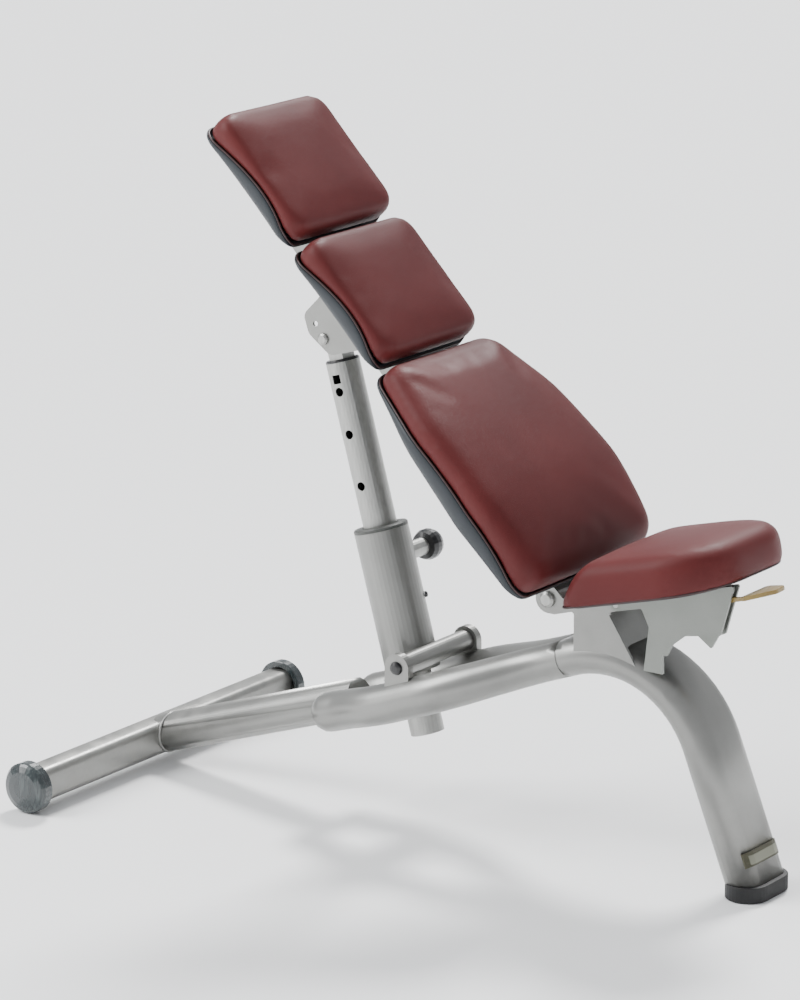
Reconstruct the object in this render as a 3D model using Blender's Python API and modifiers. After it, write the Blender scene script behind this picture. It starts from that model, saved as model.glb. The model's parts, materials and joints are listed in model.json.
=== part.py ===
"""Adjustable weight bench: a three-legged frame, a backrest on a pinned telescopic post, a tilting seat.

The seat end points to +X, the rear crossbar runs along Y, and the floor is z = 0. The bench is symmetrical
about y = 0, apart from its pull pin, which is on the +Y side of the post, and the seat's locking bracket
with its lever, which is on the -Y side. Sizes are in metres.
"""
import math

import bmesh
import bpy
from mathutils import Matrix, Vector

# Frame: side view from the rear crossbar's axis to the front foot
FIT_GAP = 0.0003            # clearance between pieces that touch
CENTRE_X = 0.5499           # from the rear crossbar's axis to the middle of the bench
BASE_LENGTH = 1.1060        # crossbar axis to the point where the leg's centre line meets the floor
CROSSBAR_LENGTH = 0.692     # over both end caps
CROSSBAR_DEPTH = 0.046
CROSSBAR_HEIGHT = 0.054
CAP_RADIUS = 0.040
CAP_LENGTH = 0.028
CAP_DOME = 0.010
CAP_FLAT = 0.0005           # how much of each cap is flattened where it stands
SPINE_RADIUS = 0.031
SPINE_LENGTH_X = 0.392
SPINE_RISE = math.radians(18.5)
RAIL_RADIUS = 0.031
RAIL_DROP = 0.006           # how far the rails hang below the spine's line
RAIL_START_X = 0.352
RAIL_KNEE_X = 0.500
RAIL_RISE = math.radians(20.6)
RAIL_SPREAD = 0.083         # half the distance between the rails at the post
LEG_WIDTH = 0.1105
LEG_DEPTH = 0.0560
LEG_LEAN = math.radians(21.7)
ARCH_RADIUS = 0.175
LEG_LEAD = 0.012            # straight stretch of the leg before its arch, where the rails join it
LEG_END_HEIGHT = 0.012
FOOT_HEIGHT = 0.024
FOOT_WALL = 0.0032
BADGE_LENGTH = 0.092
BADGE_HEIGHT = 0.022
BADGE_LEVEL = 0.062         # height of the badge's centre
BADGE_THICKNESS = 0.0016

# Post pivot on the rails
POST_PIVOT_X = 0.528
POST_PIVOT_HEIGHT = 0.265
LUG_RADIUS = 0.0215
LUG_THICKNESS = 0.013
LUG_CENTRE_Y = 0.0915
PIVOT_PIN_RADIUS = 0.008
BARREL_RADIUS = 0.0160
SLEEVE_WALL = 0.0035
SLEEVE_TOP = 0.199          # along the post, from the foot of the pivot's perpendicular
SLEEVE_BOTTOM = -0.022
POST_RADIUS = 0.0262
POST_SETBACK = POST_RADIUS + BARREL_RADIUS + 0.0023   # from the pivot's axis back to the post's axis
SLEEVE_RADIUS = POST_RADIUS + 0.0158
POST_WALL = 0.003
POST_LENGTH = 0.581
SLIDE_GAP = 0.0006          # round the post inside its bushes
BUSH_LENGTH = 0.026
BUSH_FLANGE = 0.006
PIN_RADIUS = 0.0068
PIN_DROP = 0.0475           # from the sleeve's top down to the pull pin
KNOB_RADIUS = 0.0245
KNOB_LENGTH = 0.040
KNOB_SOCKET = 0.020         # how far the pull pin reaches into its knob
PLUNGER_LENGTH = 0.068      # from the sleeve's surface to the pin's outer end
PLUNGER_CLEARANCE = 0.0008  # between the pin's tip and the inner tube
SCREW_DROP = 0.112          # from the sleeve's top down to its guide screw
SCREW_TURN = math.radians(35)
PIN_HOLES_ABOVE = (0.0645, 0.0840, 0.1500, 0.2305)   # hole distances from the post's top pivot
PIN_HOLE_PITCH = 0.052      # spacing of the holes below the one in use
TONGUE_RADIUS = 0.0130
TONGUE_LENGTH = 0.040
TONGUE_THICKNESS = 0.030

# Backrest: its hinge axis is the origin of its own frame, +Z out of the pads, -X up the backrest
HINGE_X = BASE_LENGTH - 0.338      # the backrest hinge, set back from the foot
HINGE_HEIGHT = 0.402
BACKREST_ANGLE = math.radians(46.5)
HINGE_RADIUS = 0.021
HINGE_PIN_RADIUS = 0.008
BACK_TUBE_WIDTH = 0.060
BACK_TUBE_TOP = 0.012
BACK_TUBE_BOTTOM = -0.030
BACK_TUBE_LENGTH = 0.800
CLEVIS_DISTANCE = 0.5296
CLEVIS_DROP = 0.0742
CHEEK_THICKNESS = 0.004
SHELL_LEVEL = 0.0225        # back of the pads' shells above the hinge axis
SHELL_THICKNESS = 0.018
PAD_CORNER = 0.034
PAD_EDGE = 0.016
HEAD_PAD = (0.6450, 0.8640)
MID_PAD = (0.4165, 0.6300)
LOWER_PAD = (0.0080, 0.4020)
HEAD_BRACKET = (0.690, 0.760)
UPPER_PAD_WIDTH = 0.254
PAD_FRONT = 0.077           # front of the head and middle pads above the hinge axis
LUMBAR_FRONT = 0.106
LOWER_PAD_WIDTHS = (0.262, 0.364, 0.334)   # at its top, at the lumbar swell and at its lower end
LUMBAR_DISTANCE = 0.145

# Seat: its hinge axis is the origin of its own frame, +X towards the front
SEAT_HINGE_X = BASE_LENGTH - 0.213
SEAT_HINGE_HEIGHT = 0.4165
SEAT_ANGLE = math.radians(14.4)
SEAT_PIN_RADIUS = 0.005
SEAT_BOARD_LEVEL = 0.0098
SEAT_BOARD_THICKNESS = 0.012
SEAT_REAR = -0.062
SEAT_FRONT = 0.219
SEAT_WIDTH = 0.272
SEAT_THICKNESS = 0.072
SEAT_REAR_LEAN = 0.060      # how far the seat's rear face leans forward over the pad's height
SEAT_PLATE_THICKNESS = 0.004
GUSSET_PLATE_Y = 0.0500
GUSSET_THICKNESS = 0.005
SEAT_PLATE_Y = 0.0635       # the seat bracket's outer plate
CHANNEL_WIDTH = 0.0185      # over the bracket's outer and inner plates
LEVER_PIN = (0.100, -0.006) # in the seat's own frame
LEVER_PIN_RADIUS = 0.004
LEVER_HUB_RADIUS = 0.009
LEVER_THICKNESS = 0.006
QUADRANT_RADIUS = 0.086
QUADRANT_THICKNESS = 0.005
NOTCH_DEPTH = 0.004
TOOTH_CLEARANCE = 0.0008    # between the lever's tooth and the quadrant's rim
TOOTH_ANGLE = math.radians(-24)   # the lever's tooth, seen from the seat's hinge

ROUND = 32                  # sides of a large turned piece
SMALL_ROUND = 16            # sides of a pin or a bolt
TUBE_STEPS = 6              # a tube's bevel resolution

for old in list(bpy.data.objects):
    bpy.data.objects.remove(old, do_unlink=True)

bench = bpy.data.collections.new("adjustable_weight_bench")
bpy.context.scene.collection.children.link(bench)
guides = bpy.data.collections.new("cutters_and_guides")
bpy.context.scene.collection.children.link(guides)


# ---------------------------------------------------------------- materials
def finish_of(name, colour, roughness, metallic=0.0):
    """A plain Principled material."""
    material = bpy.data.materials.new(name)
    material.use_nodes = True
    shader = material.node_tree.nodes["Principled BSDF"]
    shader.inputs["Base Color"].default_value = (*colour, 1.0)
    shader.inputs["Roughness"].default_value = roughness
    shader.inputs["Metallic"].default_value = metallic
    material.diffuse_color = (*colour, 1.0)
    return material


FINISHES = {
    "silver_paint": ((0.42, 0.42, 0.40), 0.35, 0.6),
    "bracket_paint": ((0.30, 0.33, 0.29), 0.45, 0.5),
    "bright_steel": ((0.62, 0.63, 0.62), 0.22, 1.0),
    "black_plastic": ((0.02, 0.02, 0.022), 0.45, 0.0),
    "cap_plastic": ((0.10, 0.13, 0.14), 0.25, 0.0),
    "black_rubber": ((0.012, 0.012, 0.014), 0.7, 0.0),
    "maroon_cover": ((0.14, 0.035, 0.035), 0.5, 0.0),
    "navy_shell": ((0.022, 0.028, 0.036), 0.55, 0.0),
    "badge_pewter": ((0.30, 0.29, 0.18), 0.35, 0.8),
    "ochre_plastic": ((0.45, 0.32, 0.08), 0.4, 0.0),
}


def finish(obj, kind):
    """Give a piece its own material and list it in the bench's collection."""
    colour, roughness, metallic = FINISHES[kind]
    obj.data.materials.clear()
    obj.data.materials.append(finish_of(f"{obj.name}_{kind}", colour, roughness, metallic))
    return obj


# ---------------------------------------------------------------- making shapes
def link(obj, kind=None):
    """Put an object in the bench's collection, or with the cutters where it has no finish."""
    if kind is None:
        guides.objects.link(obj)
        obj.hide_render = True
        obj.display_type = "WIRE"
    else:
        bench.objects.link(obj)
        finish(obj, kind)
    return obj


def frame_empty(name, location, tilt=0.0):
    """An empty on a joint's axis, turned about Y."""
    empty = bpy.data.objects.new(name, None)
    empty.location = location
    empty.rotation_euler = (0.0, tilt, 0.0)
    guides.objects.link(empty)
    return empty


def as_mesh(obj, kind=None):
    """Turn a curve object into a welded mesh object of the same name and place."""
    bpy.context.view_layer.update()
    evaluated = obj.evaluated_get(bpy.context.evaluated_depsgraph_get())
    mesh = bpy.data.meshes.new_from_object(evaluated)
    shape = bmesh.new()
    shape.from_mesh(mesh)
    bmesh.ops.remove_doubles(shape, verts=shape.verts, dist=0.00001)
    bmesh.ops.recalc_face_normals(shape, faces=shape.faces)
    shape.to_mesh(mesh)
    shape.free()
    name = obj.name
    place = obj.matrix_world.copy()
    bpy.data.objects.remove(obj, do_unlink=True)
    made = bpy.data.objects.new(name, mesh)
    made.matrix_world = place
    return link(made, kind)


def shade(obj, angle=40.0):
    """Smooth shading with sharp edges kept."""
    obj.data.shade_smooth()
    obj.data.set_sharp_from_angle(angle=math.radians(angle))
    return obj


def box(name, size, location, kind=None, parent=None, tilt=0.0, bevel=0.0, steps=2):
    """A box, with rounded edges where bevel is set."""
    shape = bmesh.new()
    bmesh.ops.create_cube(shape, size=1.0, matrix=Matrix.Diagonal((*size, 1.0)))
    mesh = bpy.data.meshes.new(name)
    shape.to_mesh(mesh)
    shape.free()
    obj = link(bpy.data.objects.new(name, mesh), kind)
    obj.parent = parent
    obj.location = location
    obj.rotation_euler = (0.0, tilt, 0.0)
    if bevel:
        rounding = obj.modifiers.new("rounding", "BEVEL")
        rounding.width = bevel
        rounding.segments = steps
    return obj


def turned(name, profile, location, kind=None, parent=None, rotation=(0.0, 0.0, 0.0), sides=ROUND):
    """A profile of (radius, height) points, top to bottom on the outside, turned about its own Z axis."""
    mesh = bpy.data.meshes.new(name)
    points = [(radius, 0.0, height) for radius, height in profile]
    edges = [(i, i + 1) for i in range(len(points) - 1)]
    if profile[0][0] > 0.0:
        edges.append((len(points) - 1, 0))
    mesh.from_pydata(points, edges, [])
    obj = link(bpy.data.objects.new(name, mesh), kind)
    obj.parent = parent
    obj.location = location
    obj.rotation_euler = rotation
    screw = obj.modifiers.new("turn", "SCREW")
    screw.steps = sides
    screw.render_steps = sides
    screw.merge_threshold = 0.00001
    screw.use_merge_vertices = True
    screw.use_smooth_shade = True
    return obj


ALONG_Y = (-math.pi / 2, 0.0, 0.0)     # turns a profile's +Z to +Y


def rod(name, radius, length, location, kind=None, parent=None, rotation=ALONG_Y, chamfer=0.0005,
        sides=SMALL_ROUND):
    """A solid round rod with chamfered ends, centred on its location."""
    half = length / 2
    profile = [(0.0, half), (radius - chamfer, half), (radius, half - chamfer)]
    profile += [(radius, chamfer - half), (radius - chamfer, -half), (0.0, -half)]
    return turned(name, profile, location, kind, parent, rotation, sides)


def ring(name, outer, inner, length, location, kind=None, parent=None, rotation=ALONG_Y, sides=ROUND):
    """A plain tube or washer, centred on its location."""
    half = length / 2
    profile = [(outer, half), (outer, -half), (inner, -half), (inner, half)]
    return turned(name, profile, location, kind, parent, rotation, sides)


def rounded_outline(corners, steps=5):
    """Points of a closed outline: each corner is (x, z, radius), and a radius of 0 is a sharp corner."""
    points = []
    count = len(corners)
    for index, (x, z, radius) in enumerate(corners):
        here = Vector((x, z))
        if radius <= 0.0:
            points.append(here)
            continue
        before = (Vector(corners[index - 1][:2]) - here).normalized()
        after = (Vector(corners[(index + 1) % count][:2]) - here).normalized()
        half_angle = before.angle(after) / 2
        reach = radius / math.tan(half_angle)
        centre = here + (before + after).normalized() * (radius / math.sin(half_angle))
        start = here + before * reach - centre
        sweep = start.angle_signed(here + after * reach - centre)
        for step in range(steps + 1):
            turn = -sweep * step / steps
            points.append(centre + Matrix.Rotation(turn, 2) @ start)
    return points


def circle_outline(x, z, radius, sides=SMALL_ROUND):
    """Points of a circle."""
    angles = [math.tau * step / sides for step in range(sides)]
    return [Vector((x + radius * math.cos(a), z + radius * math.sin(a))) for a in angles]


UPRIGHT = (math.pi / 2, 0.0, 0.0)      # lays a flat outline in the XZ plane
LEVEL = (0.0, 0.0, 0.0)                # keeps it in the XY plane


def plate(name, outlines, thickness, location, kind=None, parent=None, rotation=UPRIGHT, edge=0.0):
    """A flat outline with holes, given its thickness, centred on its location."""
    curve = bpy.data.curves.new(name, "CURVE")
    curve.dimensions = "2D"
    curve.fill_mode = "BOTH"
    curve.extrude = thickness / 2 - edge
    curve.bevel_depth = edge
    curve.bevel_resolution = 2
    curve.offset = -edge
    for outline in outlines:
        spline = curve.splines.new("POLY")
        spline.points.add(len(outline) - 1)
        for point, (x, z) in zip(spline.points, outline):
            point.co = (x, z, 0.0, 1.0)
        spline.use_cyclic_u = True
    obj = bpy.data.objects.new(name, curve)
    guides.objects.link(obj)
    made = as_mesh(obj, kind)
    made.parent = parent
    made.location = location
    made.rotation_euler = rotation
    return made


def swept(name, stations, radius, kind=None, steps=TUBE_STEPS, profile=None):
    """A tube through (point, scale) stations; a profile curve replaces its round section."""
    curve = bpy.data.curves.new(name, "CURVE")
    curve.dimensions = "3D"
    curve.use_fill_caps = True
    if profile is None:
        curve.bevel_depth = radius
        curve.bevel_resolution = steps
    else:
        curve.bevel_mode = "OBJECT"
        curve.bevel_object = profile
    spline = curve.splines.new("POLY")
    spline.points.add(len(stations) - 1)
    for point, (place, scale) in zip(spline.points, stations):
        point.co = (*place, 1.0)
        point.radius = scale
    obj = bpy.data.objects.new(name, curve)
    guides.objects.link(obj)
    return as_mesh(obj, kind)


def combine(obj, other, operation, keep=False):
    """Apply a Boolean with another object, which is removed unless it is kept."""
    bpy.context.view_layer.update()
    step = obj.modifiers.new(operation.lower(), "BOOLEAN")
    step.operation = operation
    step.object = other
    bpy.context.view_layer.update()
    mesh = bpy.data.meshes.new_from_object(obj.evaluated_get(bpy.context.evaluated_depsgraph_get()))
    obj.modifiers.clear()
    obj.data = mesh
    if not keep:
        bpy.data.objects.remove(other, do_unlink=True)
    return obj


def cut(obj, *cutters, keep=False):
    """Cut solids away from a piece."""
    for cutter in cutters:
        combine(obj, cutter, "DIFFERENCE", keep)
    return obj


# ---------------------------------------------------------------- the frame's centre lines
def world(x, y, z):
    """A point of the bench, given from the rear crossbar's axis."""
    return Vector((x - CENTRE_X, y, z))


AXIS_HEIGHT = CAP_RADIUS - CAP_FLAT


def spine_height(x):
    """Height of the spine's axis."""
    return AXIS_HEIGHT + x * math.tan(SPINE_RISE)


def rail_height(x):
    """Height of a rail's axis: along the spine's line up to the knee, then a little steeper."""
    knee = spine_height(RAIL_KNEE_X) - RAIL_DROP
    slope = math.tan(RAIL_RISE if x > RAIL_KNEE_X else SPINE_RISE)
    return knee + (x - RAIL_KNEE_X) * slope


def arch_geometry():
    """The start, centre and turn of the bend between the rails' line and the leg's line."""
    leg_slope = 1.0 / math.tan(LEG_LEAN)
    rail_slope = math.tan(RAIL_RISE)
    knee = rail_height(RAIL_KNEE_X)
    corner_x = (leg_slope * BASE_LENGTH - knee + rail_slope * RAIL_KNEE_X) / (leg_slope + rail_slope)
    turn = RAIL_RISE + math.pi / 2 - LEG_LEAN
    reach = ARCH_RADIUS * math.tan(turn / 2)
    corner_height = rail_height(corner_x)
    start = Vector((corner_x - reach * math.cos(RAIL_RISE), corner_height - reach * math.sin(RAIL_RISE)))
    centre = start + ARCH_RADIUS * Vector((math.sin(RAIL_RISE), -math.cos(RAIL_RISE)))
    return start, centre, turn


ARCH_START, ARCH_CENTRE, ARCH_TURN = arch_geometry()
JOIN_X = ARCH_START.x - LEG_LEAD * math.cos(RAIL_RISE)
TWIN_X = JOIN_X - 0.030     # from here on the rails run side by side


def smooth_step(value, low, high):
    """0 below low, 1 above high, and a smooth curve between."""
    share = min(1.0, max(0.0, (value - low) / (high - low)))
    return share * share * (3 - 2 * share)


def rail_offset(x):
    """A rail's distance from the middle plane: beside the spine, out round the post, and in to the leg."""
    beside_spine = SPINE_RADIUS + RAIL_RADIUS + FIT_GAP
    beside_twin = LEG_DEPTH / 2 + FIT_GAP
    opening = smooth_step(x, SPINE_LENGTH_X, POST_PIVOT_X - 0.045)
    spread = beside_spine + (RAIL_SPREAD - beside_spine) * opening
    return spread + (beside_twin - spread) * smooth_step(x, POST_PIVOT_X + 0.045, TWIN_X)


def rail_stations(side, end_gap, steps=22):
    """The stations of one rail, with a rounded rear end and a flat front end that meets the leg."""
    end_x = JOIN_X - end_gap * math.cos(RAIL_RISE)
    merge_scale = LEG_DEPTH / 2 / RAIL_RADIUS
    dome = RAIL_RADIUS * math.cos(SPINE_RISE)
    places = [RAIL_START_X + dome * (1 - math.cos(math.radians(angle))) for angle in (15, 32, 50, 70)]
    body_start = RAIL_START_X + dome
    places += [body_start + (end_x - body_start) * step / steps for step in range(steps + 1)]
    stations = []
    for x in places:
        roundness = math.sqrt(max(0.0, 1 - max(0.0, (body_start - x) / dome) ** 2))
        narrowing = 1 + (merge_scale - 1) * smooth_step(x, POST_PIVOT_X + 0.045, TWIN_X)
        stations.append((world(x, side * rail_offset(x), rail_height(x)), roundness * narrowing))
    return stations


def leg_stations(steps=16):
    """The stations of the leg: round the arch and straight down to the floor."""
    stations = [(world(JOIN_X, 0.0, rail_height(JOIN_X)), 1.0)]
    for step in range(steps + 1):
        angle = math.pi / 2 + RAIL_RISE - ARCH_TURN * step / steps
        x = ARCH_CENTRE.x + ARCH_RADIUS * math.cos(angle)
        z = ARCH_CENTRE.y + ARCH_RADIUS * math.sin(angle)
        stations.append((world(x, 0.0, z), 1.0))
    below = -0.02
    stations.append((world(BASE_LENGTH - below * math.tan(LEG_LEAN), 0.0, below), 1.0))
    return stations


def oval_profile(name, width, depth, sides=10):
    """A closed curve of an oval tube's section, for a sweep in the XZ plane."""
    radius = depth / 2
    straight = width / 2 - radius
    points = []
    for end in (1, -1):
        for step in range(sides + 1):
            angle = math.pi * step / sides - math.pi / 2 + (math.pi if end < 0 else 0.0)
            points.append((end * straight + radius * math.cos(angle), radius * math.sin(angle)))
    curve = bpy.data.curves.new(name, "CURVE")
    curve.dimensions = "2D"
    spline = curve.splines.new("POLY")
    spline.points.add(len(points) - 1)
    for point, (across, along) in zip(spline.points, points):
        point.co = (across, along, 0.0, 1.0)
    spline.use_cyclic_u = True
    profile = bpy.data.objects.new(name, curve)
    guides.objects.link(profile)
    profile.hide_render = True
    profile.display_type = "WIRE"
    return profile


def floor_cutter(level, reach=2.0):
    """A box that takes away everything below a level."""
    return box("floor_cutter", (reach, reach, 0.2), (0.0, 0.0, level - 0.1))


def leg_solid(name, growth=0.0, kind=None, end_level=LEG_END_HEIGHT):
    """The leg's solid, thicker all round by growth, cut off above the floor."""
    profile = oval_profile(f"{name}_section", LEG_WIDTH + 2 * growth, LEG_DEPTH + 2 * growth)
    leg = swept(name, leg_stations(), 0.0, kind, profile=profile)
    bpy.data.objects.remove(profile, do_unlink=True)
    return cut(leg, floor_cutter(end_level))


# ---------------------------------------------------------------- base frame
def make_base():
    """Crossbar with its end caps, spine, two rails, and the leg with its foot and badge."""
    bar_length = CROSSBAR_LENGTH - 2 * (CAP_DOME + 2 * FIT_GAP)
    bar_size = (CROSSBAR_DEPTH, bar_length, CROSSBAR_HEIGHT)
    crossbar = box("rear_crossbar", bar_size, world(0, 0, AXIS_HEIGHT), "silver_paint", bevel=0.012, steps=4)
    shade(crossbar)

    half_diagonal = math.hypot(CROSSBAR_DEPTH / 2 - 0.012, CROSSBAR_HEIGHT / 2 - 0.012) + 0.012
    socket = half_diagonal + FIT_GAP
    for side, word in ((-1, "near"), (1, "far")):
        outline = [(0.0, CAP_LENGTH)]
        for step in range(1, 5):
            angle = math.radians(22 * step)
            rim = CAP_LENGTH - CAP_DOME * (1 - math.cos(angle))
            outline.append((CAP_RADIUS * math.sin(angle) * 0.97, rim))
        outline += [(CAP_RADIUS, CAP_LENGTH - CAP_DOME * 1.15), (CAP_RADIUS, 0.001)]
        outline += [(CAP_RADIUS - 0.001, 0.0), (socket, 0.0)]
        outline += [(socket, CAP_LENGTH - CAP_DOME - FIT_GAP), (0.0, CAP_LENGTH - CAP_DOME - FIT_GAP)]
        rotation = (-side * math.pi / 2, 0.0, 0.0)
        place = world(0, side * (CROSSBAR_LENGTH / 2 - CAP_LENGTH), AXIS_HEIGHT)
        cap = turned(f"crossbar_cap_{word}", outline, place, "cap_plastic", rotation=rotation)
        cut(cap, floor_cutter(0.0))

    spine_stations = [(world(x, 0, spine_height(x)), 1.0) for x in (0.0, SPINE_LENGTH_X)]
    spine = shade(swept("rear_spine", spine_stations, SPINE_RADIUS, "silver_paint"))
    grown = tuple(size + 2 * FIT_GAP for size in bar_size)
    cut(spine, box("crossbar_cutter", grown, world(0, 0, AXIS_HEIGHT), bevel=0.012, steps=4))
    rear_half = (0.3, 0.3, 0.6)
    cut(spine, box("rear_cutter", rear_half, world(-0.15, 0, AXIS_HEIGHT)))

    for side, word in ((-1, "near"), (1, "far")):
        shade(swept(f"rail_{word}", rail_stations(side, FIT_GAP), RAIL_RADIUS, "silver_paint"))
    shade(leg_solid("front_leg", kind="silver_paint"))

    foot_width = LEG_WIDTH + 2 * FOOT_WALL
    foot_depth = LEG_DEPTH / math.cos(LEG_LEAN) + 2 * FOOT_WALL
    radius = foot_depth / 2 - 0.0001
    quarters = ((1, 1), (-1, 1), (-1, -1), (1, -1))
    corners = [(x * foot_depth / 2, y * foot_width / 2, radius) for x, y in quarters]
    foot_x = BASE_LENGTH - FOOT_HEIGHT / 2 * math.tan(LEG_LEAN)
    place = world(foot_x, 0, FOOT_HEIGHT / 2)
    outline = rounded_outline(corners, steps=8)
    foot = plate("front_foot", [outline], FOOT_HEIGHT, place, "black_rubber", rotation=LEVEL, edge=0.0015)
    cut(foot, leg_solid("foot_socket", growth=FIT_GAP, end_level=LEG_END_HEIGHT - FIT_GAP))
    shade(foot)

    inner = leg_solid("badge_inner", growth=FIT_GAP)
    badge = leg_solid("leg_badge", growth=FIT_GAP + BADGE_THICKNESS, kind="badge_pewter")
    lean_x = BASE_LENGTH - BADGE_LEVEL * math.tan(LEG_LEAN) + LEG_DEPTH / 2
    size = (0.05, BADGE_LENGTH, BADGE_HEIGHT)
    window = box("badge_window", size, world(lean_x, 0, BADGE_LEVEL), tilt=-LEG_LEAN)
    combine(badge, window, "INTERSECT")
    cut(badge, inner)


# ---------------------------------------------------------------- post pivot on the rails
def make_post_pivot():
    """Lugs on the rails and the pin that the post's barrel turns on."""
    for side, word in ((-1, "near"), (1, "far")):
        foot_z = rail_height(POST_PIVOT_X) - POST_PIVOT_HEIGHT
        corners = [(-LUG_RADIUS, foot_z, 0.0), (-LUG_RADIUS, LUG_RADIUS, LUG_RADIUS - 0.0001)]
        corners += [(LUG_RADIUS, LUG_RADIUS, LUG_RADIUS - 0.0001), (LUG_RADIUS, foot_z, 0.0)]
        hole = circle_outline(0, 0, PIVOT_PIN_RADIUS + FIT_GAP)
        place = world(POST_PIVOT_X, side * LUG_CENTRE_Y, POST_PIVOT_HEIGHT)
        outlines = [rounded_outline(corners, steps=8), hole]
        lug = plate(f"pivot_lug_{word}", outlines, LUG_THICKNESS, place, "silver_paint")
        cut(lug, swept("rail_cutter", rail_stations(side, 0.0), RAIL_RADIUS + FIT_GAP))
        shade(lug)
        face = LUG_CENTRE_Y + LUG_THICKNESS / 2 + FIT_GAP
        outline = [(0.0, 0.0055), (0.005, 0.0052), (0.0090, 0.0036)]
        outline += [(0.0105, 0.0010), (0.0105, 0.0), (0.0, 0.0)]
        place = world(POST_PIVOT_X, side * face, POST_PIVOT_HEIGHT)
        rotation = (-side * math.pi / 2, 0.0, 0.0)
        turned(f"pivot_cap_{word}", outline, place, "black_plastic", rotation=rotation, sides=28)
    length = 2 * (LUG_CENTRE_Y + LUG_THICKNESS / 2)
    rod("post_pivot_pin", PIVOT_PIN_RADIUS, length, world(POST_PIVOT_X, 0, POST_PIVOT_HEIGHT), "bright_steel")


# ---------------------------------------------------------------- telescopic post
def clevis_place():
    """The top pivot's place, from the backrest's hinge and its angle."""
    along, drop = CLEVIS_DISTANCE, CLEVIS_DROP
    x = HINGE_X - along * math.cos(BACKREST_ANGLE) - drop * math.sin(BACKREST_ANGLE)
    z = HINGE_HEIGHT + along * math.sin(BACKREST_ANGLE) - drop * math.cos(BACKREST_ANGLE)
    return x, z


CLEVIS_X, CLEVIS_HEIGHT = clevis_place()
REACH = math.hypot(CLEVIS_X - POST_PIVOT_X, CLEVIS_HEIGHT - POST_PIVOT_HEIGHT)
POST_REACH = math.sqrt(REACH ** 2 - POST_SETBACK ** 2)
PIVOT_BEARING = math.atan2(CLEVIS_X - POST_PIVOT_X, CLEVIS_HEIGHT - POST_PIVOT_HEIGHT)
POST_TILT = PIVOT_BEARING + math.asin(POST_SETBACK / REACH)
UP = (0.0, 0.0, 0.0)


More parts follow.
